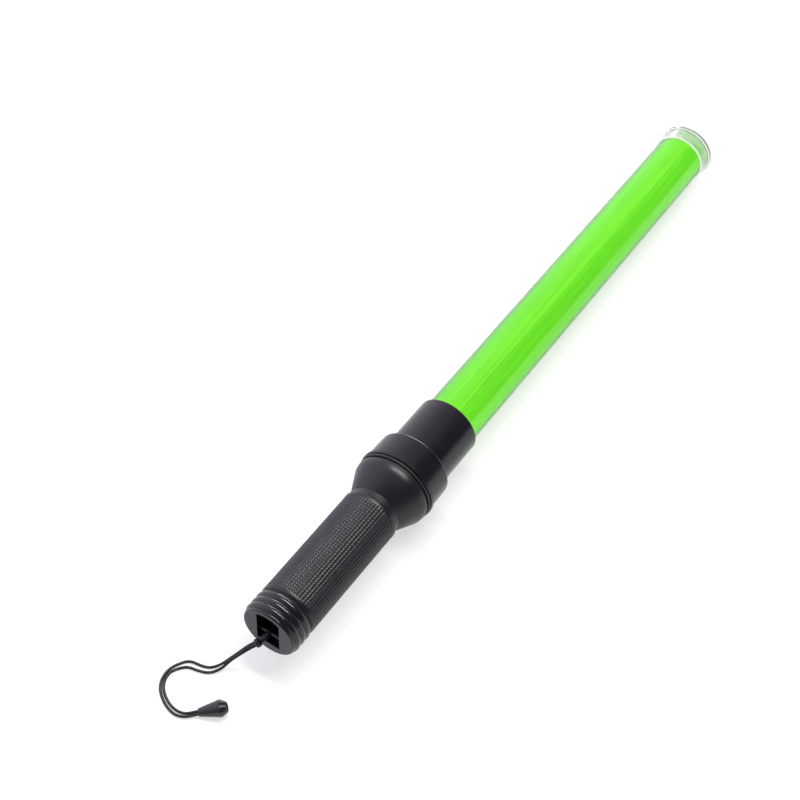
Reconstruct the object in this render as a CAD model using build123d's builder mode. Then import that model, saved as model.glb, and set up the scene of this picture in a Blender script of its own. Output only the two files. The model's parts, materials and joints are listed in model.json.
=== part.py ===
from build123d import *
import math
import os

# ---------------------------------------------------------------------------
# Traffic baton light: a knurled battery handle with a screw-on tail cap and a
# hang cord, a twist head, and a long clear tube round a rolled green film.
# Millimetres. +X runs along the baton from the tail to the tip, +Z is up.
# Stations are distances along the baton's own axis from the tail face.
# The baton lies on the rim of its head ring and on the rim of its tip cap, so
# its axis leans a little, and the origin is under the middle of its length.
# ---------------------------------------------------------------------------

# driving dimensions
overall_length = 540.0
grip_r = 19.5
cell_r = 17.1                    # R20 / D cell
cell_length = 61.5
cell_count = 2
ring_r = 26.5
flange_r = 27.4                  # rear rim of the head ring, which rests on the floor
collar_r = 21.9
tube_r = 19.3
tube_wall = 1.5
tip_rim_r = 22.0

# stations of the outside, from the tail
face_edge = 2.35
rib_count = 3
rib_pitch = 4.78
cap_end = face_edge + rib_count * rib_pitch
grip_start = cap_end + 1.5
grip_end = 106.8
neck_end = 112.0
cone_end = 131.0
gasket_start = 132.65
gasket_end = 134.4
ring_start = 135.0
flange_end = 137.2
ring_end = 156.6
collar_end = 196.2
tip_skirt_start = 526.0
tip_rim_start = 537.0
tip_rim_end = 539.3

# battery chamber
chamber_r = 17.5
spring_seat = 10.5
cells_start = 25.5
cells_end = cells_start + cell_count * cell_length
nub_height = 1.5
bottom = -90.0                   # direction of the contact strip, seen towards the tip

# twist switch: positions of the head as angles across the baton
off_angle = -135.0
flash_angle = -90.0
steady_angle = -45.0
pad_radius = 13.5

# screw cap
thread_pitch = 3.0
thread_turns = 1.35
spigot_r = 16.6
spigot_end = 24.6

# cord
strand_diameter = 1.8

# clearances
running_gap = 0.3
seat_gap = 0.05

# ---------------------------------------------------------------------------
# The baton's own axis and planes
# ---------------------------------------------------------------------------
lean = math.atan2(flange_r - tip_rim_r, tip_rim_end - flange_end)
along = Vector(math.cos(lean), 0, -math.sin(lean))
tail = Vector(
    -overall_length * math.cos(lean) / 2,
    0,
    flange_end * math.sin(lean) + flange_r * math.cos(lean),
)
lengthwise = Plane(origin=tail, x_dir=along, z_dir=(0, -1, 0))   # x: station, y: radius
up = Vector(math.sin(lean), 0, math.cos(lean))
baton_axis = Axis(tail, along)


def across(station):
    """Plane across the baton, facing the tip: x is to the left (+Y), y is up."""
    return Plane(origin=tail + along * station, x_dir=(0, 1, 0), z_dir=along)


def outline(*points):
    """Closed outline of (station, radius) points, to be revolved about the baton."""
    with BuildSketch(lengthwise) as area:
        with BuildLine():
            Polyline(*points, close=True)
        make_face()
    return area.sketch


def block(start, end, inner, outer, width, angle):
    """Flat bar along the baton between two stations, at one angle round it."""
    with BuildPart() as bar:
        with BuildSketch(across(start)):
            with Locations(Location((0, 0, 0), angle)):
                with Locations(((inner + outer) / 2, 0)):
                    Rectangle(outer - inner, width)
        extrude(amount=end - start)
    return bar.part


def finish(piece, name):
    """Name a finished piece and write it."""
    piece.label = name
    export_step(piece, f"parts/{name}.step")
    volume = piece.volume
    print(f"{name:22s} {volume:10.1f} mm3")


os.makedirs("parts", exist_ok=True)

# ---------------------------------------------------------------------------
# Tail cap: ribbed outside, threaded spigot, cord pocket with a cross bar
# ---------------------------------------------------------------------------
face_r = 17.2
first_root_r = 18.4
rib_root_r = 18.75
rib_crest_r = 19.8
pocket_half_width = 8.2
pocket_bottom = -10.8
pocket_round_r = 15.6            # the pocket's upper side follows the cap's rim
pocket_depth = 8.0
bar_station = 4.2
bar_height = -6.0
bar_r = 1.2
spigot_bore_r = 14.6

# male thread round the spigot
thread_crest_r = 17.25
thread_start = cap_end + 2.6
thread_height = thread_crest_r - spigot_r + 0.15
with BuildPart() as cap_thread:
    with BuildLine():
        turn = Helix(
            pitch=thread_pitch,
            height=thread_pitch * thread_turns,
            radius=spigot_r - 0.15,
            center=tail + along * thread_start,
            direction=along,
        )
    with BuildSketch(Plane(origin=turn @ 0, x_dir=along, z_dir=turn % 0)):
        with BuildLine():
            Polyline((-1.0, 0), (-0.4, thread_height), (0.4, thread_height), (1.0, 0), close=True)
        make_face()
    sweep(path=turn, is_frenet=True)

with BuildPart() as tail_cap:
    with BuildSketch(lengthwise):
        with BuildLine():
            Line((0, 0), (0, face_r))
            ThreePointArc((0, face_r), (0.9, face_r + 1.4), (face_edge, first_root_r))
            for rib in range(rib_count):
                start = face_edge + rib * rib_pitch
                ThreePointArc(
                    (start, rib_root_r if rib else first_root_r),
                    (start + rib_pitch / 2, rib_crest_r),
                    (start + rib_pitch, rib_root_r),
                )
            Polyline(
                (cap_end, rib_root_r),
                (cap_end, spigot_r),
                (spigot_end - 0.6, spigot_r),
                (spigot_end, spigot_r - 0.6),
                (spigot_end, spigot_bore_r),
                (spring_seat, spigot_bore_r),
                (spring_seat, 0),
                (0, 0),
            )
        make_face()
    revolve(axis=baton_axis)
    with BuildSketch(across(0)):
        Circle(pocket_round_r)
        with Locations((0, (pocket_bottom + pocket_round_r) / 2)):
            Rectangle(2 * pocket_half_width, pocket_round_r - pocket_bottom, mode=Mode.INTERSECT)
    extrude(amount=pocket_depth, mode=Mode.SUBTRACT)
    # cross bar for the cord, moulded between the pocket's side walls
    with BuildSketch(Plane(origin=tail + along * bar_station + up * bar_height, z_dir=(0, 1, 0))):
        Circle(bar_r)
    extrude(amount=pocket_half_width + 0.5, both=True)
    add(cap_thread.part)
finish(tail_cap.part, "tail_cap")

# ---------------------------------------------------------------------------
# Cap seal, tail contact and tail spring
# ---------------------------------------------------------------------------
with BuildPart() as cap_o_ring:
    with BuildSketch(lengthwise):
        with Locations(((cap_end + grip_start) / 2, spigot_r + 1.05)):
            Ellipse((grip_start - cap_end) / 2 - 0.02, 0.95)
    revolve(axis=baton_axis)
finish(cap_o_ring.part, "cap_o_ring")

plate_thickness = 0.5
tongue_width = 5.0
tongue_r = 13.6
lip_r = 17.2
with BuildPart() as tail_contact:
    with BuildSketch(across(spring_seat)):
        Circle(tongue_r + 0.3)
    extrude(amount=plate_thickness)
    add(block(spring_seat, spigot_end + 0.4, tongue_r, tongue_r + 0.4, tongue_width, bottom))
    add(block(spigot_end, spigot_end + 0.4, tongue_r, lip_r, tongue_width, bottom))
finish(tail_contact.part, "tail_contact")

spring_wire_r = 0.6
spring_base_r = 11.0
spring_top_r = 5.5
spring_turns = 5
spring_start = spring_seat + plate_thickness + spring_wire_r + seat_gap
spring_height = cells_start - spring_wire_r - seat_gap - spring_start
with BuildPart() as tail_spring:
    with BuildLine():
        coil = Helix(
            pitch=spring_height / spring_turns,
            height=spring_height,
            radius=spring_base_r,
            center=tail + along * spring_start,
            direction=along,
            cone_angle=-math.degrees(math.atan((spring_base_r - spring_top_r) / spring_height)),
        )
    with BuildSketch(Plane(origin=coil @ 0, z_dir=coil % 0)):
        Circle(spring_wire_r)
    sweep(path=coil, is_frenet=True)
finish(tail_spring.part, "tail_spring")

# ---------------------------------------------------------------------------
# Cells: base plate, core, printed jacket and top cap of each
# ---------------------------------------------------------------------------
jacket_thickness = 0.4
for number, place in enumerate(["rear", "front"]):
    start = cells_start + number * cell_length
    shoulder = start + cell_length - nub_height
    with BuildPart() as cell_base:
        with BuildSketch(across(start)):
            Circle(cell_r - 1.4)
        extrude(amount=0.6)
    finish(cell_base.part, f"cell_{place}_base")
    with BuildPart() as cell_core:
        with BuildSketch(across(start + 0.6)):
            Circle(cell_r - jacket_thickness)
        extrude(amount=shoulder - 1.2 - start - 0.6)
    finish(cell_core.part, f"cell_{place}_core")
    with BuildPart() as cell_jacket:
        inner = cell_r - jacket_thickness
        revolve(
            outline(
                (start + 0.2, inner), (start + 0.2, cell_r - 0.15), (start + 0.5, cell_r),
                (shoulder - 0.3, cell_r), (shoulder, cell_r - 0.15), (shoulder, inner),
            ),
            axis=baton_axis,
        )
    finish(cell_jacket.part, f"cell_{place}_jacket")
    with BuildPart() as cell_cap:
        nub_r = 4.75
        top = shoulder - 0.6
        end = start + cell_length
        revolve(
            outline(
                (top - 0.6, 0), (top - 0.6, inner), (top, inner), (top, nub_r + 1.5),
                (top + 0.6, nub_r + 0.4), (end - 0.4, nub_r), (end, nub_r - 0.4), (end, 0),
            ),
            axis=baton_axis,
        )
    finish(cell_cap.part, f"cell_{place}_cap")

# ---------------------------------------------------------------------------
# Handle: grip tube, neck, cone and the sleeve that carries the twist head
# ---------------------------------------------------------------------------
neck_r = 18.3
cone_start_r = 19.2
cone_end_r = 26.55
sleeve_r = 22.7
sleeve_end = 152.9
base_seat = 148.9
base_seat_r = 20.6
clip_start = 151.0
clip_end = 152.2
clip_groove_r = 21.8
strip_width = 6.0
switch_screw_r = 18.9
screw_shank_r = 1.0
switch_screw_length = 9.0
with BuildPart() as handle:
    with BuildSketch(lengthwise):
        with BuildLine():
            Polyline(
                (grip_start, chamber_r), (grip_start, grip_r - 0.9), (grip_start + 1.2, grip_r),
                (grip_end - 1.6, grip_r),
            )
            ThreePointArc((grip_end - 1.6, grip_r), (grip_end - 0.45, grip_r - 0.3), (grip_end, neck_r))
            Polyline((grip_end, neck_r), (neck_end - 0.6, neck_r), (neck_end, cone_start_r), (124.0, 24.9))
            ThreePointArc((124.0, 24.9), (127.0, 26.15), (cone_end, cone_end_r))
            Polyline(
                (cone_end, cone_end_r),
                (cone_end, sleeve_r),
                (clip_start, sleeve_r),
                (clip_start, clip_groove_r),
                (clip_end, clip_groove_r),
                (clip_end, sleeve_r),
                (sleeve_end, sleeve_r),
                (sleeve_end, base_seat_r),
                (base_seat, base_seat_r),
                (base_seat, chamber_r),
                (grip_start, chamber_r),
            )
        make_face()
    revolve(axis=baton_axis)
    # groove for the contact strip, along the bottom of the chamber
    add(block(spigot_end, base_seat, chamber_r - 1, chamber_r + 0.3, strip_width + 0.4, bottom),
        mode=Mode.SUBTRACT)
    with BuildSketch(across(base_seat)):
        with PolarLocations(switch_screw_r, 2):
            Circle(screw_shank_r + seat_gap)
    extrude(amount=-switch_screw_length, mode=Mode.SUBTRACT)
finish(handle.part, "handle")

with BuildPart() as head_gasket:
    revolve(
        outline(
            (cone_end + 0.05, sleeve_r), (cone_end + 0.05, 25.5), (gasket_start, 25.5),
            (gasket_start, 26.6), (gasket_start + 0.4, 27.0), (gasket_end - 0.4, 27.0),
            (gasket_end, 26.6), (gasket_end, 25.3), (ring_start - running_gap, 25.3),
            (ring_start - running_gap, sleeve_r),
        ),
        axis=baton_axis,
    )
finish(head_gasket.part, "head_gasket")

with BuildPart() as retaining_clip:
    with BuildSketch(across(clip_start + 0.1)):
        Circle(24.5)
        Circle(clip_groove_r + seat_gap, mode=Mode.SUBTRACT)
        with Locations((0, 23)):
            Rectangle(9, 8, mode=Mode.SUBTRACT)
    extrude(amount=1.0)
finish(retaining_clip.part, "retaining_clip")

# ---------------------------------------------------------------------------
# Contact strip and switch base with its contacts
# ---------------------------------------------------------------------------
strip_inner = chamber_r - 0.1
strip_thickness = 0.35
plate_start = cells_end - 0.1
with BuildPart() as contact_strip:
    add(block(spigot_end + 0.7, plate_start + strip_thickness, strip_inner,
              strip_inner + strip_thickness, strip_width, bottom))
    # arc plate that feeds both mode contacts
    with BuildSketch(across(plate_start)):
        with BuildLine():
            outer_arc = CenterArc((0, 0), strip_inner + 0.05, bottom - 12, 72)
            inner_arc = CenterArc((0, 0), pad_radius - 2.6, bottom - 12, 72)
            Line(outer_arc @ 0, inner_arc @ 0)
            Line(outer_arc @ 1, inner_arc @ 1)
        make_face()
        for angle in (flash_angle, steady_angle):
            with Locations(Location((0, 0, 0), angle)):
                with Locations((pad_radius, 0)):
                    Circle(1.2 + seat_gap, mode=Mode.SUBTRACT)
    extrude(amount=strip_thickness)
finish(contact_strip.part, "contact_strip")

base_thickness = 3.0
base_front = base_seat + base_thickness
rivet_r = 1.2
with BuildPart() as switch_base:
    with BuildSketch(across(base_seat)):
        Circle(base_seat_r - 0.1)
        Circle(1.5 + seat_gap, mode=Mode.SUBTRACT)
        with PolarLocations(switch_screw_r, 2):
            Circle(screw_shank_r + seat_gap, mode=Mode.SUBTRACT)
        for angle in (flash_angle, steady_angle):
            with Locations(Location((0, 0, 0), angle)):
                with Locations((pad_radius, 0)):
                    Circle(rivet_r + seat_gap, mode=Mode.SUBTRACT)
    extrude(amount=base_thickness)
finish(switch_base.part, "switch_base")

with BuildPart() as centre_contact:
    revolve(
        outline(
            (base_seat - 0.35, 0), (base_seat - 0.35, 2.4), (base_seat, 2.6), (base_seat, 1.5),
            (base_front, 1.5), (base_front, 2.6), (base_front + 0.4, 2.2), (base_front + 0.4, 0),
        ),
        axis=baton_axis,
    )
finish(centre_contact.part, "centre_contact")


def at_angle(station, radius, angle):
    """Plane across the baton whose origin is off the axis, at one angle round it."""
    turn_in_rad = math.radians(angle)
    offset = Vector(radius * math.cos(turn_in_rad), radius * math.sin(turn_in_rad), 0)
    return Plane(across(station).from_local_coords(offset), x_dir=(0, 1, 0), z_dir=along)


for mode_name, angle in (("flash", flash_angle), ("steady", steady_angle)):
    with BuildPart() as pad:
        with BuildSketch(at_angle(plate_start - 0.3, pad_radius, angle)):
            Circle(1.9)
        extrude(amount=0.3)
        with BuildSketch(at_angle(plate_start, pad_radius, angle)):
            Circle(rivet_r)
        extrude(amount=base_front - plate_start)
        with BuildSketch(at_angle(base_front, pad_radius, angle)):
            Circle(2.2)
        extrude(amount=0.35, taper=30)
    finish(pad.part, f"{mode_name}_pad")

with BuildPart() as switch_screws:
    with BuildSketch(across(base_front)):
        with PolarLocations(switch_screw_r, 2):
            Circle(1.55)
    extrude(amount=0.9)
    with BuildSketch(across(base_front)):
        with PolarLocations(switch_screw_r, 2):
            Circle(screw_shank_r)
    extrude(amount=-(switch_screw_length + base_thickness - 1))
    with BuildSketch(across(base_front + 0.9)):
        with PolarLocations(switch_screw_r, 2):
            Rectangle(0.4, 1.9)
            Rectangle(1.9, 0.4)
    extrude(amount=-0.5, mode=Mode.SUBTRACT)
finish(switch_screws.part, "switch_screws")

# ---------------------------------------------------------------------------
# Head: ring, collar, lamp board and LEDs
# ---------------------------------------------------------------------------
ring_bore_r = sleeve_r + running_gap
counterbore_r = 25.1
ring_front_r = 26.1
ring_shoulder = 150.6
ring_lip = 155.4
with BuildPart() as head_ring:
    with BuildSketch(lengthwise):
        with BuildLine():
            Polyline(
                (ring_start, ring_bore_r), (ring_start, flange_r - 0.5),
                (ring_start + 0.4, flange_r), (flange_end, flange_r),
                (flange_end + 0.7, ring_r), (ring_end - 1.5, ring_front_r),
            )
            ThreePointArc(
                (ring_end - 1.5, ring_front_r), (ring_end - 0.45, ring_front_r - 0.45),
                (ring_end, ring_front_r - 1.5),
            )
            Polyline(
                (ring_end, ring_front_r - 1.5),
                (ring_end, collar_r + seat_gap),
                (ring_lip, collar_r + seat_gap),
                (ring_lip, counterbore_r),
                (ring_shoulder, counterbore_r),
                (ring_shoulder, ring_bore_r),
                (ring_start, ring_bore_r),
            )
        make_face()
    revolve(axis=baton_axis)
finish(head_ring.part, "head_ring")

collar_start = 153.4
board_start = 156.6
holder_start = 161.0
tube_start = 166.2
with BuildPart() as collar:
    revolve(
        outline(
            (collar_start, 20.0), (collar_start, counterbore_r - 0.1),
            (ring_lip - seat_gap, counterbore_r - 0.1), (ring_lip - seat_gap, collar_r),
            (collar_end - 0.4, collar_r), (collar_end, collar_r - 0.4),
            (collar_end, tube_r + seat_gap), (holder_start, tube_r + seat_gap), (holder_start, 20.0),
        ),
        axis=baton_axis,
    )
finish(collar.part, "collar")

board_thickness = 1.6
board_front = board_start + board_thickness
board_r = 18.8
led_ring_r = 9.5
led_count = 5
board_screw_r = 15.4
led_legs_half = 1.27


def led_places():
    """Where the LEDs stand across the baton: one in the middle, the others round it."""
    places = [(0.0, 0.0)]
    for number in range(led_count - 1):
        turn_in_rad = math.radians(45 + 90 * number)
        places.append((led_ring_r * math.cos(turn_in_rad), led_ring_r * math.sin(turn_in_rad)))
    return places


with BuildPart() as led_board:
    with BuildSketch(across(board_start)):
        Circle(board_r)
        with PolarLocations(board_screw_r, 3, start_angle=30):
            Circle(screw_shank_r + seat_gap, mode=Mode.SUBTRACT)
        for x, y in led_places():
            with Locations((x - led_legs_half, y), (x + led_legs_half, y)):
                Circle(0.35, mode=Mode.SUBTRACT)
    extrude(amount=board_thickness)
finish(led_board.part, "led_board")

with BuildPart() as led_holder:
    with BuildSketch(across(holder_start)):
        Circle(tube_r - 0.05)
    extrude(amount=3.0)
    with BuildSketch(across(holder_start + 3.0)):
        Circle(tube_r - 0.05)
        Circle(tube_r - tube_wall - 0.3, mode=Mode.SUBTRACT)
    extrude(amount=tube_start - holder_start - 3.0)
    with BuildSketch(across(holder_start)):
        with PolarLocations(board_screw_r, 3, start_angle=30):
            Circle(2.6)
    extrude(amount=board_front - holder_start)
    with BuildSketch(across(board_front)):
        with PolarLocations(board_screw_r, 3, start_angle=30):
            Circle(screw_shank_r + seat_gap)
    extrude(amount=4.6, mode=Mode.SUBTRACT)
    with BuildSketch(across(holder_start)):
        with Locations(*led_places()):
            Circle(2.5 + seat_gap)
    extrude(amount=3.0, mode=Mode.SUBTRACT)
finish(led_holder.part, "led_holder")

for number, (x, y) in enumerate(led_places()):
    centre = across(0).from_local_coords((x, y, 0)) - tail
    flange_start = holder_start - 1.05
    with BuildPart() as led:
        with BuildSketch(Plane(origin=tail + centre, x_dir=along, z_dir=(0, -1, 0))):
            with BuildLine():
                Polyline(
                    (flange_start + 6.6, 2.5), (flange_start + 1.0, 2.5), (flange_start + 1.0, 2.9),
                    (flange_start, 2.9), (flange_start, 0), (flange_start + 9.1, 0),
                )
                ThreePointArc(
                    (flange_start + 9.1, 0), (flange_start + 6.6 + 1.768, 1.768), (flange_start + 6.6, 2.5),
                )
            make_face()
        revolve(axis=Axis(tail + centre, along))
        with BuildSketch(across(flange_start)):
            with Locations((x - led_legs_half, y), (x + led_legs_half, y)):
                Circle(0.25)
        extrude(amount=-(flange_start - board_start + 0.9))
    finish(led.part, f"led_{number + 1}")

with BuildPart() as board_screws:
    with BuildSketch(across(board_start)):
        with PolarLocations(board_screw_r, 3, start_angle=30):
            Circle(1.9)
    extrude(amount=-1.0)
    with BuildSketch(across(board_start)):
        with PolarLocations(board_screw_r, 3, start_angle=30):
            Circle(screw_shank_r)
    extrude(amount=6.0)
    with BuildSketch(across(board_start - 1.0)):
        with PolarLocations(board_screw_r, 3, start_angle=30):
            Rectangle(0.4, 2.2)
            Rectangle(2.2, 0.4)
    extrude(amount=0.5, mode=Mode.SUBTRACT)
finish(board_screws.part, "board_screws")

with BuildPart() as flasher_chip:
    with BuildSketch(across(board_front + 0.2)):
        with Locations((0, -8.5)):
            Rectangle(4.9, 3.9)
    extrude(amount=1.4)
    for side in (-1, 1):
        with BuildSketch(across(board_front)):
            with Locations((0, -8.5 + side * 2.4)):
                with GridLocations(1.27, 1, 4, 1):
                    Rectangle(0.4, 1.0)
        extrude(amount=0.35)
finish(flasher_chip.part, "flasher_chip")

with BuildPart() as resistors:
    with BuildSketch(across(board_front)):
        with Locations((0, 9.0)):
            with GridLocations(2.4, 1, 4, 1):
                Rectangle(1.25, 2.0)
    extrude(amount=0.55)
finish(resistors.part, "resistors")

# leaf on the back of the board that wipes over the switch base
leaf_thickness = 0.25
leaf_half_width = 1.5
leaf_tip = base_front + 0.75
with BuildPart() as wiper:
    turn_in_rad = math.radians(off_angle)
    tangent = Vector(0, -math.sin(turn_in_rad), 0) + up * math.cos(turn_in_rad)
    leaf_origin = across(0).from_local_coords(
        (pad_radius * math.cos(turn_in_rad), pad_radius * math.sin(turn_in_rad), 0)
    )
    with BuildSketch(Plane(origin=leaf_origin, x_dir=along, z_dir=along.cross(tangent))):
        with BuildLine():
            Polyline(
                (board_start, -4.0), (board_start, -1.0), (leaf_tip + leaf_thickness, 2.6),
                (leaf_tip + 0.9, 4.0), (leaf_tip + 0.9 - leaf_thickness, 4.0), (leaf_tip, 2.7),
                (leaf_tip, 2.3), (board_start - leaf_thickness, -1.2), (board_start - leaf_thickness, -4.0),
                close=True,
            )
        make_face()
    extrude(amount=leaf_half_width, both=True)
finish(wiper.part, "wiper")

with BuildPart() as centre_spring:
    centre_wire_r = 0.3
    centre_start = base_front + 0.4 + running_gap + centre_wire_r
    centre_height = board_start - centre_wire_r - seat_gap - centre_start
    with BuildLine():
        coil = Helix(
            pitch=centre_height / 3,
            height=centre_height,
            radius=2.0,
            center=tail + along * centre_start,
            direction=along,
        )
    with BuildSketch(Plane(origin=coil @ 0, z_dir=coil % 0)):
        Circle(centre_wire_r)
    sweep(path=coil, is_frenet=True)
finish(centre_spring.part, "centre_spring")

# ---------------------------------------------------------------------------
# Clear tube, rolled film and tip cap
# ---------------------------------------------------------------------------
tube_end = 536.0
tube_bore_r = tube_r - tube_wall
with BuildPart() as clear_tube:
    with BuildSketch(across(tube_start)):
        Circle(tube_r)
        Circle(tube_bore_r, mode=Mode.SUBTRACT)
    extrude(amount=tube_end - tube_start)
finish(clear_tube.part, "clear_tube")

film_thickness = 0.4
film_outer_r = 17.5
film_overlap = 35.0
film_seam_angle = 110.0
film_start = 167.0
film_end = 535.2
film_skew = 19.0


def film_edge(inset):
    """One side of the rolled film: a flat spiral that steps in once per turn."""
    points = []
    total = 360.0 + film_overlap
    steps = 48
    for step in range(steps + 1):
        travelled = total * step / steps
        radius = film_outer_r - inset - (film_thickness + 0.15) * travelled / 360.0
        turn_in_rad = math.radians(film_seam_angle + travelled)
        points.append((radius * math.cos(turn_in_rad), radius * math.sin(turn_in_rad)))
    return points


with BuildPart() as green_film:
    with BuildSketch(across(film_start)):
        with BuildLine():
            outer_side = Spline(*film_edge(0))
            inner_side = Spline(*film_edge(film_thickness))
            Line(outer_side @ 0, inner_side @ 0)
            Line(outer_side @ 1, inner_side @ 1)
        make_face()
    extrude(amount=film_end - film_start)
    # the roll's tip end runs out further on its right side
    cut_centre = tail + along * (film_end - film_outer_r * math.tan(math.radians(film_skew)))
    cut_normal = (along + Vector(0, 1, 0) * math.tan(math.radians(film_skew))).normalized()
    split(bisect_by=Plane(origin=cut_centre, z_dir=cut_normal), keep=Keep.BOTTOM)
finish(green_film.part, "green_film")

tip_skirt_r = 21.1
tip_plate_start = 536.1
with BuildPart() as tip_cap:
    with BuildSketch(lengthwise):
        with BuildLine():
            Polyline(
                (tip_plate_start, 0), (tip_plate_start, tube_r + seat_gap),
                (tip_skirt_start, tube_r + seat_gap), (tip_skirt_start, tip_skirt_r),
                (tip_rim_start - 0.4, tip_skirt_r), (tip_rim_start, tip_rim_r), (tip_rim_end, tip_rim_r),
            )
            ThreePointArc(
                (tip_rim_end, tip_rim_r), (overall_length - 0.2, tip_rim_r - 0.25),
                (overall_length, tip_rim_r - 0.8),
            )
            Polyline((overall_length, tip_rim_r - 0.8), (overall_length, 0), (tip_plate_start, 0))
        make_face()
    revolve(axis=baton_axis)
finish(tip_cap.part, "tip_cap")

# ---------------------------------------------------------------------------
# Hang cord: one limp braided cord, folded round the pocket's cross bar, in two
# pieces that meet face to face under the bar. Both strands are bound by a hitch
# at the cap and knotted together in the bell
# ---------------------------------------------------------------------------
over_bar_route = [
    # from inside the bell back to the cap, then over the bar and round it
    (-319.6, 4.36, 4.23), (-322.09, 7.25, 3.39), (-325.46, 11.17, 2.25), (-330.4, 15.8, 1.4),
    (-332.9, 22.1, 1.1), (-331.5, 29.0, 1.0), (-328.3, 35.4, 1.0), (-324.1, 40.5, 1.0),
    (-318.6, 43.7, 1.0), (-311.6, 44.5, 1.0), (-305.2, 42.2, 1.0), (-299.1, 37.8, 1.0),
    (-298.2, 30.5, 1.0), (-296.3, 24.8, 1.0), (-291.7, 20.6, 2.2), (-288.7, 16.7, 7.9),
    (-284.4, 12.5, 13.5), (-279.3, 8.5, 18.9), (-274.1, 5.2, 20.5), (-269.8, 1.6, 25.3),
    (-263.4, 1.5, 25.6), (-263.4, 1.5, 20.6), (-267.3, 1.63, 20.79),
]
under_bar_route = [
    # from under the bar out to the bell
    (-267.3, 1.63, 20.79), (-269.6, 1.7, 20.9), (-274.5, 3.9, 19.1), (-279.4, 7.2, 17.4),
    (-283.5, 11.6, 12.0), (-287.3, 15.9, 6.2), (-293.4, 18.4, 2.2), (-299.2, 22.6, 1.0),
    (-301.9, 29.5, 1.0), (-303.0, 35.8, 1.0), (-306.8, 39.6, 1.0), (-311.9, 42.6, 1.0),
    (-318.0, 41.9, 1.0), (-322.8, 39.0, 1.0), (-326.5, 34.3, 1.0), (-329.3, 28.3, 1.0),
    (-330.1, 22.3, 1.1), (-328.7, 17.0, 1.4), (-323.95, 12.48, 2.25), (-320.57, 8.55, 3.39),
    (-318.09, 5.67, 4.23),
]


def corner_radii(route):
    """The largest arc that the two runs at each corner of a route allow."""
    points = [Vector(*point) for point in route]
    radii = []
    for before, corner, after in zip(points, points[1:], points[2:]):
        run_in = corner - before
        run_out = after - corner
        turned = math.radians(run_in.get_angle(run_out))
        shorter = min(run_in.length, run_out.length)
        radii.append(0.45 * shorter / math.tan(turned / 2))
    return radii


for name, route in (("cord_over_bar", over_bar_route), ("cord_under_bar", under_bar_route)):
    radii = corner_radii(route)
    with BuildPart() as strand:
        with BuildLine():
            middle = FilletPolyline(*route, radius=radii)
        with BuildSketch(Plane(origin=middle @ 0, z_dir=middle % 0)):
            Circle(strand_diameter / 2)
        sweep(path=middle)
    finish(strand.part, name)
    expected = math.pi * strand_diameter ** 2 / 4 * middle.length
    print(f"{name}: {middle.length:.1f} mm long, section times length {expected:.1f} mm3")
    print("radii", [round(radius, 1) for radius in radii])

# wrapped hitch that binds the two strands just outside the pocket
hitch_centre = Vector(-274.3, 4.5, 19.8)
hitch_direction = Vector(-9.5, 6.1, -4.5).normalized()
hitch_r = 2.9
hitch_length = 3.6
hitch_start = hitch_centre - hitch_direction * (hitch_length / 2)
with BuildPart() as cord_hitch:
    with BuildSketch(Plane(origin=hitch_start, z_dir=hitch_direction)):
        Circle(hitch_r)
    extrude(amount=hitch_length)
    fillet(cord_hitch.edges(), radius=1.2)
finish(cord_hitch.part, "cord_hitch")

# bell: a thick-walled cone lying on its side, its narrow end on the cord and
# its open end drawn in again past the widest part
bell_mouth = Vector(-323.94, 10.94, 2.51)
bell_lean = math.radians(12.4)
bell_heading = math.radians(-49.3)
bell_direction = Vector(
    math.cos(bell_heading) * math.cos(bell_lean),
    math.sin(bell_heading) * math.cos(bell_lean),
    math.sin(bell_lean),
)
bell_length = 17.2
bell_widest = 13.0
bell_narrow_r = 2.55
bell_wide_r = 5.35
bell_end_r = 3.4
bell_hole_r = 2.15
bell_bore_r = 2.7
bell_plane = Plane(origin=bell_mouth, x_dir=bell_direction, z_dir=bell_direction.cross(Vector(0, 0, 1)))
with BuildPart() as cord_bell:
    with BuildSketch(bell_plane):
        with BuildLine():
            Polyline(
                (0, bell_hole_r), (0, bell_narrow_r - 0.1), (0.4, bell_narrow_r + 0.1),
                (bell_widest, bell_wide_r), (bell_widest + 0.5, bell_wide_r - 0.05),
                (bell_length - 0.3, bell_end_r), (bell_length, bell_end_r - 0.3),
                (bell_length, bell_bore_r), (3.8, bell_bore_r), (3.2, bell_hole_r),
                close=True,
            )
        make_face()
    revolve(axis=Axis(bell_mouth, bell_direction))
finish(cord_bell.part, "cord_bell")

knot_centre = bell_mouth + bell_direction * 9.6
knot_half_length = 2.8
knot_r = 2.45
with BuildPart() as bell_knot:
    with BuildSketch(Plane(origin=knot_centre, x_dir=bell_direction, z_dir=bell_plane.z_dir)):
        with BuildLine():
            Line((-knot_half_length, 0), (knot_half_length, 0))
            Spline(
                (knot_half_length, 0), (0.75 * knot_half_length, 0.75 * knot_r), (0, knot_r),
                (-0.75 * knot_half_length, 0.75 * knot_r), (-knot_half_length, 0),
            )
        make_face()
    revolve(axis=Axis(knot_centre, bell_direction))
finish(bell_knot.part, "bell_knot")
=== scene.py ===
import json
import math

import bmesh
import bpy
from mathutils import Matrix, Vector


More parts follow.
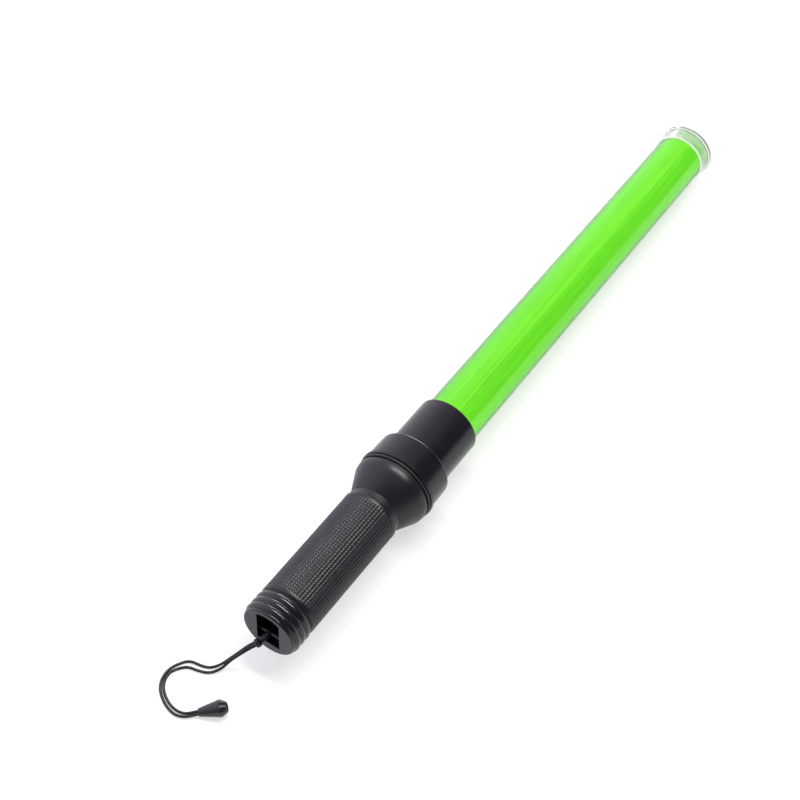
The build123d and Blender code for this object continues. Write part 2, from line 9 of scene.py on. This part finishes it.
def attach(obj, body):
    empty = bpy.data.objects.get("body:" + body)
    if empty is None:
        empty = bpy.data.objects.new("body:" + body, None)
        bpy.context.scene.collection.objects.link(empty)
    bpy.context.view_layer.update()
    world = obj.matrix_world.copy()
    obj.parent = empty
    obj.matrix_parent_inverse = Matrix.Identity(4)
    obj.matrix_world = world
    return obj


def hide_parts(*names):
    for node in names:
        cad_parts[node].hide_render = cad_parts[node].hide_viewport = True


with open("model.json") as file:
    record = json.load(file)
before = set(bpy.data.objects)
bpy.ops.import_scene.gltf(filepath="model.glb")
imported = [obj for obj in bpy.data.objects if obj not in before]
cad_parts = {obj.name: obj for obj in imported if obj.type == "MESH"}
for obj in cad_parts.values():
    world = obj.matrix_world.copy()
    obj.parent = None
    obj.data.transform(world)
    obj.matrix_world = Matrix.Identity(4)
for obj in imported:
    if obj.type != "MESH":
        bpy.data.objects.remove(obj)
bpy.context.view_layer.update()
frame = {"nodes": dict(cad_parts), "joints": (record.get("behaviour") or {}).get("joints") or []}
cad = frame["nodes"]
joints = {joint["name"]: joint for joint in frame["joints"]}
MM = 0.001
MICRON = 0.000001

# The baton's own axis. Stations are millimetres along it from the tail face.
along = Vector(joints["head_turn"]["axis"])
tail = Vector(joints["cap_turn"]["pos_m"])
left = Vector((0, 1, 0))
up = along.cross(left)


def place(station, radius, angle):
    """A point of the baton, from millimetres and degrees: 0 is its left side, 90 its top."""
    turned = math.radians(angle)
    return (
        tail + along * (station * MM)
        + left * (radius * MM * math.cos(turned))
        + up * (radius * MM * math.sin(turned))
    )


# --- camera -------------------------------------------------------------------
# fitted to the outline of the baton
camera_focal_px = 1563.0
image_width_px = 800
sensor_width_mm = 36.0
camera_azimuth = math.radians(-58.34)
camera_elevation = math.radians(50.25)
camera_roll = math.radians(-3.05)
camera_place = Vector((-0.64284, -0.31287, 0.82980))

view_direction = Vector((
    -math.sin(camera_azimuth) * math.cos(camera_elevation),
    math.cos(camera_azimuth) * math.cos(camera_elevation),
    -math.sin(camera_elevation),
))
level_right = Vector((math.cos(camera_azimuth), math.sin(camera_azimuth), 0))
level_down = view_direction.cross(level_right)
image_right = level_right * math.cos(camera_roll) + level_down * math.sin(camera_roll)
image_down = level_down * math.cos(camera_roll) - level_right * math.sin(camera_roll)

camera_data = bpy.data.cameras.new("camera")
camera_data.sensor_width = sensor_width_mm
camera_data.lens = camera_focal_px * sensor_width_mm / image_width_px
camera_data.clip_start = 0.01
camera_data.clip_end = 20.0
camera = bpy.data.objects.new("camera", camera_data)
bpy.context.scene.collection.objects.link(camera)
turn = Matrix((image_right, -image_down, -view_direction)).transposed()
camera.matrix_world = Matrix.Translation(camera_place) @ turn.to_4x4()
bpy.context.scene.camera = camera


# --- cord ---------------------------------------------------------------------
def curve_piece(name, points, diameter):
    """A limp cord's smooth line through its route, with a round section."""
    data = bpy.data.curves.new(name, "CURVE")
    data.dimensions = "3D"
    # Blender grows a curve's box by its points' radius, which is a metre unless set. So it is
    # 1 mm here, and the bevel is deeper by as much.
    data.bevel_depth = diameter / 2 / MM
    data.bevel_resolution = 5
    data.resolution_u = 10
    data.use_fill_caps = True
    line = data.splines.new("NURBS")
    line.points.add(len(points) - 1)
    for control, point in zip(line.points, points):
        control.co = (point[0] * MM, point[1] * MM, point[2] * MM, 1)
        control.radius = MM
    line.order_u = 3
    line.use_endpoint_u = True
    piece = bpy.data.objects.new(name, data)
    bpy.context.scene.collection.objects.link(piece)
    return piece


strand_diameter = 0.0018
over_bar_route = [
    (-319.6, 4.36, 4.23), (-322.09, 7.25, 3.39), (-325.46, 11.17, 2.25), (-330.4, 15.8, 1.4),
    (-332.9, 22.1, 1.1), (-331.5, 29.0, 1.0), (-328.3, 35.4, 1.0), (-324.1, 40.5, 1.0),
    (-318.6, 43.7, 1.0), (-311.6, 44.5, 1.0), (-305.2, 42.2, 1.0), (-299.1, 37.8, 1.0),
    (-298.2, 30.5, 1.0), (-296.3, 24.8, 1.0), (-291.7, 20.6, 2.2), (-288.7, 16.7, 7.9),
    (-284.4, 12.5, 13.5), (-279.3, 8.5, 18.9), (-274.1, 5.2, 20.5), (-269.8, 1.6, 25.3),
    (-263.4, 1.5, 25.6), (-263.4, 1.5, 20.6), (-267.3, 1.63, 20.79),
]
under_bar_route = [
    (-267.3, 1.63, 20.79), (-269.6, 1.7, 20.9), (-274.5, 3.9, 19.1), (-279.4, 7.2, 17.4),
    (-283.5, 11.6, 12.0), (-287.3, 15.9, 6.2), (-293.4, 18.4, 2.2), (-299.2, 22.6, 1.0),
    (-301.9, 29.5, 1.0), (-303.0, 35.8, 1.0), (-306.8, 39.6, 1.0), (-311.9, 42.6, 1.0),
    (-318.0, 41.9, 1.0), (-322.8, 39.0, 1.0), (-326.5, 34.3, 1.0), (-329.3, 28.3, 1.0),
    (-330.1, 22.3, 1.1), (-328.7, 17.0, 1.4), (-323.95, 12.48, 2.25), (-320.57, 8.55, 3.39),
    (-318.09, 5.67, 4.23),
]
strand_over = curve_piece("strand_over_bar", over_bar_route, strand_diameter)
strand_under = curve_piece("strand_under_bar", under_bar_route, strand_diameter)
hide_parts("cord_over_bar")
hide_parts("cord_under_bar")
for strand, length in ((strand_over, 0.140), (strand_under, 0.120)):
    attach(strand, "cap")


# --- materials ----------------------------------------------------------------
def set_stops(ramp_node, stops):
    """Give a colour ramp its stops: a place from 0 to 1 and a colour for each."""
    elements = ramp_node.color_ramp.elements
    while len(elements) < len(stops):
        elements.new(0.5)
    for element, (where, colour) in zip(elements, stops):
        element.position = where
        element.color = (*colour, 1)


class Material:
    """A Principled material with a few node helpers."""

    def __init__(self, name, colour, roughness, **values):
        self.material = bpy.data.materials.new(name)
        self.material.use_nodes = True
        self.tree = self.material.node_tree
        self.shader = self.tree.nodes["Principled BSDF"]
        self.shader.inputs["Base Color"].default_value = (*colour, 1)
        self.shader.inputs["Roughness"].default_value = roughness
        for socket, value in values.items():
            self.shader.inputs[socket.replace("_", " ")].default_value = value
        self.position = self.node("ShaderNodeTexCoord").outputs["Object"]
        self.height = None

    def node(self, kind, **settings):
        made = self.tree.nodes.new(kind)
        for key, value in settings.items():
            setattr(made, key, value)
        return made

    def link(self, output, socket):
        self.tree.links.new(output, socket)

    def noise(self, scale, detail=3, drawn_out=1):
        """Noise with features per metre, drawn out along X by a number of times."""
        mapping = self.node("ShaderNodeMapping")
        mapping.inputs["Scale"].default_value = (1 / drawn_out, 1, 1)
        texture = self.node("ShaderNodeTexNoise")
        texture.inputs["Scale"].default_value = scale
        texture.inputs["Detail"].default_value = detail
        self.link(self.position, mapping.inputs["Vector"])
        self.link(mapping.outputs["Vector"], texture.inputs["Vector"])
        return texture.outputs["Fac"]

    def wave(self, scale, axis):
        """Soft bands across an axis."""
        texture = self.node("ShaderNodeTexWave", wave_type="BANDS", bands_direction=axis)
        texture.inputs["Scale"].default_value = scale
        self.link(self.position, texture.inputs["Vector"])
        return texture.outputs["Fac"]

    def spread(self, value, low, high):
        """Map a 0 to 1 value on to a range."""
        ranged = self.node("ShaderNodeMapRange")
        ranged.inputs["To Min"].default_value = low
        ranged.inputs["To Max"].default_value = high
        self.link(value, ranged.inputs["Value"])
        return ranged.outputs["Result"]

    def ramp(self, value, *stops):
        """Colours at places from 0 to 1."""
        ramp_node = self.node("ShaderNodeValToRGB")
        set_stops(ramp_node, stops)
        self.link(value, ramp_node.inputs["Fac"])
        return ramp_node.outputs["Color"]

    def times(self, one, other):
        """The product of two colours."""
        mix = self.node("ShaderNodeMix", data_type="RGBA", blend_type="MULTIPLY")
        mix.inputs["Factor"].default_value = 1.0
        self.link(one, mix.inputs["A"])
        self.link(other, mix.inputs["B"])
        return mix.outputs["Result"]

    def blend(self, value, dark, light):
        """From one colour to another, over the middle values that a noise mostly has."""
        return self.ramp(value, (0.3, dark), (0.7, light))

    def vary_colour(self, value, dark, light):
        self.link(self.blend(value, dark, light), self.shader.inputs["Base Color"])

    def vary_roughness(self, value, low, high):
        self.link(self.spread(value, low, high), self.shader.inputs["Roughness"])

    def bump(self, value, depth):
        """Add relief of a depth in microns to what is there."""
        bump = self.node("ShaderNodeBump")
        bump.inputs["Strength"].default_value = 1.0
        bump.inputs["Distance"].default_value = depth * MICRON
        self.link(value, bump.inputs["Height"])
        if self.height is not None:
            self.link(self.height, bump.inputs["Normal"])
        self.height = bump.outputs["Normal"]
        self.link(self.height, self.shader.inputs["Normal"])

    def absorb(self, colour, density):
        """Tint the inside of clear plastic, by the metre of its thickness."""
        inside = self.node("ShaderNodeVolumeAbsorption")
        inside.inputs["Color"].default_value = (*colour, 1)
        inside.inputs["Density"].default_value = density
        self.link(inside.outputs["Volume"], self.tree.nodes["Material Output"].inputs["Volume"])

    def on_axis(self):
        """Position in the baton's own frame: X is the station in metres, Z is up."""
        mapping = self.node("ShaderNodeMapping", vector_type="TEXTURE")
        mapping.inputs["Location"].default_value = tail
        mapping.inputs["Rotation"].default_value = (0, math.atan2(-along.z, along.x), 0)
        self.link(self.position, mapping.inputs["Vector"])
        split = self.node("ShaderNodeSeparateXYZ")
        self.link(mapping.outputs["Vector"], split.inputs["Vector"])
        return split.outputs

    def near_station(self, station, reach):
        """1 at a station in millimetres, and 0 from a reach away from it."""
        offset = self.node("ShaderNodeMath", operation="SUBTRACT")
        offset.inputs[1].default_value = station * MM
        self.link(self.on_axis()["X"], offset.inputs[0])
        distance = self.node("ShaderNodeMath", operation="ABSOLUTE")
        self.link(offset.outputs["Value"], distance.inputs[0])
        ranged = self.node("ShaderNodeMapRange")
        ranged.inputs["From Max"].default_value = reach * MM
        ranged.inputs["To Min"].default_value = 1.0
        ranged.inputs["To Max"].default_value = 0.0
        self.link(distance.outputs["Value"], ranged.inputs["Value"])
        return ranged.outputs["Result"]

    def angle(self):
        """Angle round the baton as 0 to 1: 0.5 is its left side and 0.75 its top."""
        own = self.on_axis()
        turned = self.node("ShaderNodeMath", operation="ARCTAN2")
        self.link(own["Z"], turned.inputs[0])
        self.link(own["Y"], turned.inputs[1])
        ranged = self.node("ShaderNodeMapRange")
        ranged.inputs["From Min"].default_value = -math.pi
        ranged.inputs["From Max"].default_value = math.pi
        self.link(turned.outputs["Value"], ranged.inputs["Value"])
        return ranged.outputs["Result"]


def moulded(name, dark, light, roughness, grain, **values):
    """Moulded plastic or rubber, with soft dents, cloudy gloss and a faint shift of colour.

    The grain is given by its depth in microns.
    """
    made = Material(name, light, roughness, **values)
    made.vary_colour(made.noise(60, 4), dark, light)
    made.vary_roughness(made.noise(220, 5), roughness - 0.04, roughness + 0.05)
    made.bump(made.noise(2600, 2), grain)
    made.bump(made.noise(90, 2), 30)
    return made.material


def metal(name, dark, light, roughness, brushed=1):
    """Bare metal with cloudy tarnish and fine scratches, drawn out along X where brushed."""
    made = Material(name, light, roughness, Metallic=1.0)
    made.vary_colour(made.noise(400, 4), dark, light)
    made.vary_roughness(made.noise(3000, 3, brushed), roughness - 0.1, roughness + 0.15)
    made.bump(made.noise(6000, 2, brushed), 10)
    return made.material


black_plastic = moulded(
    "black_plastic", (0.005, 0.0045, 0.0075), (0.009, 0.008, 0.012), 0.24, 12,
    Specular_IOR_Level=0.4,
)
grip_plastic = moulded(
    "grip_plastic", (0.006, 0.0055, 0.0085), (0.011, 0.010, 0.014), 0.36, 3,
    Specular_IOR_Level=0.42,
)

# the tail cap's flat face is left matt by its mould, and its colour is painted paler than the
# ribs': painted light, for the light that the matt face scatters
rib_colour, face_painted_light_colour = (0.007, 0.0065, 0.010), (0.060, 0.056, 0.066)
rib_roughness, face_roughness = 0.24, 0.6
cap = Material("cap_plastic", rib_colour, rib_roughness)
matt_face_and_painted_light = cap.near_station(0.0, 0.15)
# painted light: the flat face is given a paler colour than the ribs' plastic
cap.vary_colour(matt_face_and_painted_light, rib_colour, face_painted_light_colour)
cap.vary_roughness(matt_face_and_painted_light, rib_roughness, face_roughness)
cap.bump(cap.noise(2600, 2), 3)
cap.bump(cap.noise(90, 2), 10)
cap_plastic = cap.material

seal_rubber = moulded("seal_rubber", (0.007, 0.007, 0.009), (0.012, 0.012, 0.014), 0.5, 20)
bell_plastic = moulded("bell_plastic", (0.012, 0.011, 0.016), (0.020, 0.019, 0.026), 0.18, 8)
switch_board = moulded("phenolic_board", (0.20, 0.11, 0.045), (0.33, 0.19, 0.08), 0.5, 10)
cell_core = moulded("cell_core", (0.05, 0.05, 0.05), (0.10, 0.10, 0.10), 0.7, 10)
white_plastic = moulded("white_plastic", (0.70, 0.70, 0.67), (0.84, 0.84, 0.82), 0.4, 10)
chip_black = moulded("chip_epoxy", (0.010, 0.010, 0.011), (0.022, 0.022, 0.024), 0.6, 8)
resistor = moulded("resistor_glaze", (0.02, 0.02, 0.025), (0.05, 0.05, 0.06), 0.35, 4)
spring_steel = metal("spring_steel", (0.32, 0.32, 0.33), (0.60, 0.60, 0.61), 0.3)
nickel_strip = metal("nickel_strip", (0.50, 0.48, 0.43), (0.70, 0.68, 0.63), 0.28, 50)
brass_contact = metal("brass_contact", (0.55, 0.36, 0.13), (0.80, 0.60, 0.28), 0.3)
zinc_screw = metal("zinc_screw", (0.42, 0.43, 0.45), (0.68, 0.69, 0.70), 0.32)
cell_metal = metal("cell_metal", (0.52, 0.51, 0.49), (0.74, 0.73, 0.71), 0.3)

board = Material("circuit_board", (0.02, 0.17, 0.06), 0.35, Coat_Weight=0.4)
board.vary_colour(board.noise(500, 2), (0.008, 0.09, 0.03), (0.03, 0.22, 0.08))
board.bump(board.noise(1500, 2), 30)
circuit_board = board.material

jacket = Material("cell_jacket", (0.05, 0.09, 0.28), 0.3, Metallic=0.5, Coat_Weight=0.6)
jacket.vary_colour(jacket.wave(11, "X"), (0.02, 0.03, 0.10), (0.62, 0.60, 0.55))
jacket.vary_roughness(jacket.noise(300), 0.22, 0.4)
cell_jacket = jacket.material

led = Material("led_epoxy", (0.75, 1.0, 0.72), 0.08, Transmission_Weight=0.85, IOR=1.52)
led.vary_colour(led.noise(300), (0.55, 0.95, 0.5), (0.85, 1.0, 0.8))
led_epoxy = led.material

# an index below real acrylic's, so that the tube's edges reflect less of the white floor, and a
# tint that darkens them, because light passes through more plastic there
tube_tint, tube_tint_density = (0.365, 0.788, 0.147), 700
clear = Material("clear_acrylic", (0.93, 1.0, 0.93), 0.06, Transmission_Weight=1.0, IOR=1.33)
clear.vary_colour(clear.noise(40), (0.93, 0.99, 0.92), (0.98, 1.0, 0.97))
clear.absorb(tube_tint, tube_tint_density)
clear.vary_roughness(clear.noise(250, 4, 10), 0.04, 0.12)
clear.bump(clear.noise(60, 2, 20), 50)
clear_plastic = clear.material

# the tip cap is untinted, and the cut edge of its skirt is made less clear and painted with a
# white glow of its own: painted light for the light that the acrylic carries to its edge
skirt_end = 526.0
wall_transmission, edge_transmission = 0.85, 0.05
tip = Material(
    "tip_acrylic", (0.97, 0.98, 0.97), 0.05, IOR=1.42, Specular_IOR_Level=0.3,
    Emission_Strength=0.35,
)
skirt_edge = tip.near_station(skirt_end, 0.2)
tip.vary_colour(tip.noise(60), (0.83, 0.86, 0.83), (0.91, 0.93, 0.91))
tip_transmission = tip.spread(skirt_edge, wall_transmission, edge_transmission)
tip.link(tip_transmission, tip.shader.inputs["Transmission Weight"])
# painted glow: white light of its own on the skirt's cut edge
skirt_edge_painted_glow = tip.ramp(skirt_edge, (0.0, (0.0, 0.0, 0.0)), (0.3, (1.0, 1.0, 1.0)))
tip.link(skirt_edge_painted_glow, tip.shader.inputs["Emission Color"])
tip.vary_roughness(tip.noise(250, 4, 10), 0.02, 0.08)
tip.bump(tip.wave(240, "X"), 30)
tip_plastic = tip.material

# the film shows brighter than a lit sheet would, so most of its green is a painted glow of its
# own, standing for the light that reaches the film through the tube from all sides
film = Material(
    "green_film", (0.09, 0.44, 0.02), 0.5, Emission_Strength=1.06, Specular_IOR_Level=0.1,
)
film_sheet = film.blend(film.noise(30, 3, 10), (0.19, 0.34, 0.045), (0.23, 0.38, 0.066))
# painted glow: green light given off by the film itself, though it is no lamp
film_painted_glow = film.blend(film.noise(18, 2, 10), (0.389, 0.89, 0.085), (0.436, 0.955, 0.110))
film_lines = film.ramp(film.noise(700, 2, 100), (0.35, (0.80, 0.83, 0.80)), (0.65, (1, 1, 1)))
# where the roll overlaps itself it lets less light through: a sharp edge on its left, a soft
# one on its right
single, double = (1, 1, 1), (0.78, 0.95, 0.7)
film_overlap = film.ramp(
    film.angle(), (0.804, single), (0.808, double), (0.9, double), (0.915, single),
)
film.link(film.times(film_sheet, film_overlap), film.shader.inputs["Base Color"])
film_painted_light = film.times(film.times(film_painted_glow, film_overlap), film_lines)
film.link(film_painted_light, film.shader.inputs["Emission Color"])
film.bump(film.noise(900, 3, 50), 50)
green_film = film.material

braid = Material(
    "braided_cord", (0.01, 0.009, 0.011), 0.5, Sheen_Weight=0.08, Sheen_Roughness=0.4,
)
braid.vary_colour(braid.noise(2500, 2), (0.005, 0.0045, 0.006), (0.014, 0.012, 0.016))
braid.bump(braid.wave(330, "DIAGONAL"), 100)
braid.bump(braid.noise(4000, 2), 50)
cord_braid = braid.material

node_materials = {
    "tail_cap": cap_plastic, "handle": grip_plastic, "head_ring": black_plastic,
    "collar": black_plastic, "cap_o_ring": seal_rubber, "head_gasket": seal_rubber,
    "tail_spring": spring_steel, "centre_spring": spring_steel, "retaining_clip": spring_steel,
    "tail_contact": nickel_strip, "contact_strip": nickel_strip, "wiper": nickel_strip,
    "centre_contact": brass_contact, "flash_pad": brass_contact, "steady_pad": brass_contact,
    "switch_screws": zinc_screw, "board_screws": zinc_screw, "switch_base": switch_board,
    "led_board": circuit_board, "led_holder": white_plastic, "flasher_chip": chip_black,
    "resistors": resistor, "clear_tube": clear_plastic, "tip_cap": tip_plastic,
    "green_film": green_film, "cord_hitch": cord_braid, "bell_knot": cord_braid,
    "cord_bell": bell_plastic,
}
led_count = 5
for number in range(1, led_count + 1):
    node_materials[f"led_{number}"] = led_epoxy
for which in ("rear", "front"):
    node_materials[f"cell_{which}_base"] = cell_metal
    node_materials[f"cell_{which}_cap"] = cell_metal
    node_materials[f"cell_{which}_core"] = cell_core
    node_materials[f"cell_{which}_jacket"] = cell_jacket


def paint(piece, material):
    """Give a piece one material, in place of any it has."""
    if piece.data.materials:
        for number in range(len(piece.data.materials)):
            piece.data.materials[number] = material
    else:
        piece.data.materials.append(material)


for name, material in node_materials.items():
    paint(cad[name], material)
for strand in (strand_over, strand_under):
    paint(strand, cord_braid)


# --- pieces in more detail ----------------------------------------------------
def solid(name, rings, angles, crease, material, body, replaced):
    """A closed turned piece: each ring is a station and one radius for each angle."""
    mesh = bmesh.new()
    made = [
        [mesh.verts.new(place(station, radius, angle)) for radius, angle in zip(radii, angles)]
        for station, radii in rings
    ]
    for ring, following in zip(made, made[1:] + made[:1]):
        for side in range(len(angles)):
            other = (side + 1) % len(angles)
            mesh.faces.new((ring[side], following[side], following[other], ring[other]))
    bmesh.ops.recalc_face_normals(mesh, faces=mesh.faces)
    data = bpy.data.meshes.new(name)
    mesh.to_mesh(data)
    mesh.free()
    data.polygons.foreach_set("use_smooth", [True] * len(data.polygons))
    data.set_sharp_from_angle(angle=math.radians(crease))
    piece = bpy.data.objects.new(name, data)
    bpy.context.scene.collection.objects.link(piece)
    paint(piece, material)
    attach(piece, body)
    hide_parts(replaced)


def knurl_steps(start, end, pitch):
    """(place, groove) along a knurled width: V grooves between round-topped ridges."""
    count = round((end - start) / pitch)
    step = (end - start) / count
    section = ((0.0, 1.0), (0.14, 0.95), (0.36, 0.25), (0.57, 0.0), (0.78, 0.25))
    steps = []
    for number in range(count):
        for part, groove in section:
            steps.append((start + (number + part) * step, groove))
    return steps


knurl_columns = 54
column_depth = 0.5
cross_pitch = 2.2
cross_depth = 0.28
knurl_start, knurl_end = 21.0, 103.6
knurl_margin = 0.1
columns = knurl_steps(0, 360, 360 / knurl_columns)
angles = [angle for angle, _ in columns]
column_grooves = [groove for _, groove in columns]


def plain(station, radius):
    """A ring without knurl."""
    return station, [radius] * len(angles)


def rounded(start, middle, end, steps=6):
    """Rings on the arc through three (station, radius) points, without its first point."""
    first, second, third = (Vector((*point, 0)) for point in (start, middle, end))
    chord, other = second - first, third - first
    normal = chord.cross(other)
    centre = first + (
        other.length_squared * normal.cross(chord) + chord.length_squared * other.cross(normal)
    ) / (2 * normal.length_squared)
    sweep = (first - centre).angle(third - centre)
    turn_by = Matrix.Rotation(math.copysign(sweep / steps, normal.z), 3, "Z")
    rings, spoke = [], first - centre
    for _ in range(steps):
        spoke = turn_by @ spoke
        rings.append(plain(centre.x + spoke.x, centre.y + spoke.y))
    return rings


grip_start, grip_end = 18.19, 106.8
grip_r = 19.5
rear_edge_r, rear_bevel = 18.6, 1.2
front_edge_start = (grip_end - 1.6, grip_r)
front_edge_middle = (grip_end - 0.45, grip_r - 0.3)
neck_end, neck_r = 111.4, 18.3
cone_foot, cone_shoulder = (112.0, 19.2), (124.0, 24.9)
cone_bend, cone_end = (127.0, 26.15), (131.0, 26.55)
sleeve_r, sleeve_end = 22.7, 152.9
clip_groove_start, clip_groove_end, clip_groove_r = 151.0, 152.2, 21.8
switch_seat, switch_seat_r = 148.9, 20.6
chamber_r = 17.5

handle_rings = [
    plain(grip_start, chamber_r), plain(grip_start, rear_edge_r),
    plain(grip_start + rear_bevel, grip_r), plain(knurl_start - knurl_margin, grip_r),
]
for station, cross_groove in knurl_steps(knurl_start, knurl_end, cross_pitch):
    radii = [
        grip_r - max(groove * column_depth, cross_groove * cross_depth)
        for groove in column_grooves
    ]
    handle_rings.append((station, radii))
handle_rings += [plain(knurl_end + knurl_margin, grip_r), plain(*front_edge_start)]
handle_rings += rounded(front_edge_start, front_edge_middle, (grip_end, neck_r))
handle_rings += [plain(neck_end, neck_r), plain(*cone_foot), plain(*cone_shoulder)]
handle_rings += rounded(cone_shoulder, cone_bend, cone_end)
handle_rings += [
    plain(cone_end[0], sleeve_r),
    plain(clip_groove_start, sleeve_r), plain(clip_groove_start, clip_groove_r),
    plain(clip_groove_end, clip_groove_r), plain(clip_groove_end, sleeve_r),
    plain(sleeve_end, sleeve_r), plain(sleeve_end, switch_seat_r),
    plain(switch_seat, switch_seat_r), plain(switch_seat, chamber_r),
]
solid(
    "knurled_handle", handle_rings, angles, crease=40.0, material=grip_plastic, body="handle",
    replaced="handle",
)


# --- floor, light and air -----------------------------------------------------
floor_mesh = bpy.data.meshes.new("floor")
floor_reach = 6
floor_corners = [
    (side_x * floor_reach, side_y * floor_reach, 0)
    for side_x, side_y in ((-1, -1), (1, -1), (1, 1), (-1, 1))
]
floor_mesh.from_pydata(floor_corners, [], [(0, 1, 2, 3)])
floor = bpy.data.objects.new("floor", floor_mesh)
bpy.context.scene.collection.objects.link(floor)
# a backlit white table, so that shadows on it stay faint
floor_paint = Material("floor_paint", (0.36, 0.36, 0.365), 0.6, Emission_Strength=0.62)
floor_paint.vary_colour(floor_paint.noise(3), (0.35, 0.35, 0.355), (0.37, 0.37, 0.375))
paint(floor, floor_paint.material)


def area_light(name, direction, distance, size, power, colour):
    """A lamp, in metres and watts, that looks at the origin. Its second size is along Y."""
    data = bpy.data.lights.new(name, "AREA")
    data.shape = "RECTANGLE"
    data.size, data.size_y = size
    data.energy = power
    data.color = colour
    lamp = bpy.data.objects.new(name, data)
    bpy.context.scene.collection.objects.link(lamp)
    towards = Vector(direction).normalized()
    sideways = Vector((0, 1, 0)).cross(towards).normalized()
    lamp.location = towards * distance
    turn = Matrix((sideways, towards.cross(sideways), towards)).transposed()
    lamp.rotation_mode = "QUATERNION"
    lamp.rotation_quaternion = turn.to_quaternion()


warm_white, cool_white = (1.0, 0.97, 0.93), (0.97, 0.98, 1.0)
area_light("key", (0.13, -0.10, 0.98), 1.7, (0.12, 1.35), 29, warm_white)
area_light("front_box", (0.9, 0.30, 0.10), 1.7, (0.5, 1.0), 22, cool_white)

# the room is dark on the baton's right and bright on its left, with a violet cast
room_strength = 2.0
wall_stops = (
    (0.1, (0.06, 0.055, 0.066)),
    (0.3, (0.08, 0.0728, 0.0864)),
    (0.5, (0.16, 0.1456, 0.1728)),
    (0.585, (0.25, 0.2275, 0.27)),
    (0.8, (0.60, 0.546, 0.648)),
    (0.9, (0.72, 0.66, 0.78)),
)
world = bpy.data.worlds.new("air")
world.use_nodes = True
room = world.node_tree
direction = room.nodes.new("ShaderNodeTexCoord")
split_direction = room.nodes.new("ShaderNodeSeparateXYZ")
leftness = room.nodes.new("ShaderNodeMapRange")
leftness.inputs["From Min"].default_value = -1.0
walls = room.nodes.new("ShaderNodeValToRGB")
set_stops(walls, wall_stops)
background = room.nodes["Background"]
background.inputs["Strength"].default_value = room_strength
room.links.new(direction.outputs["Generated"], split_direction.inputs["Vector"])
room.links.new(split_direction.outputs["Y"], leftness.inputs["Value"])
room.links.new(leftness.outputs["Result"], walls.inputs["Fac"])
room.links.new(walls.outputs["Color"], background.inputs["Color"])
bpy.context.scene.world = world
bpy.context.scene.view_settings.view_transform = "Standard"

bpy.context.view_layer.update()
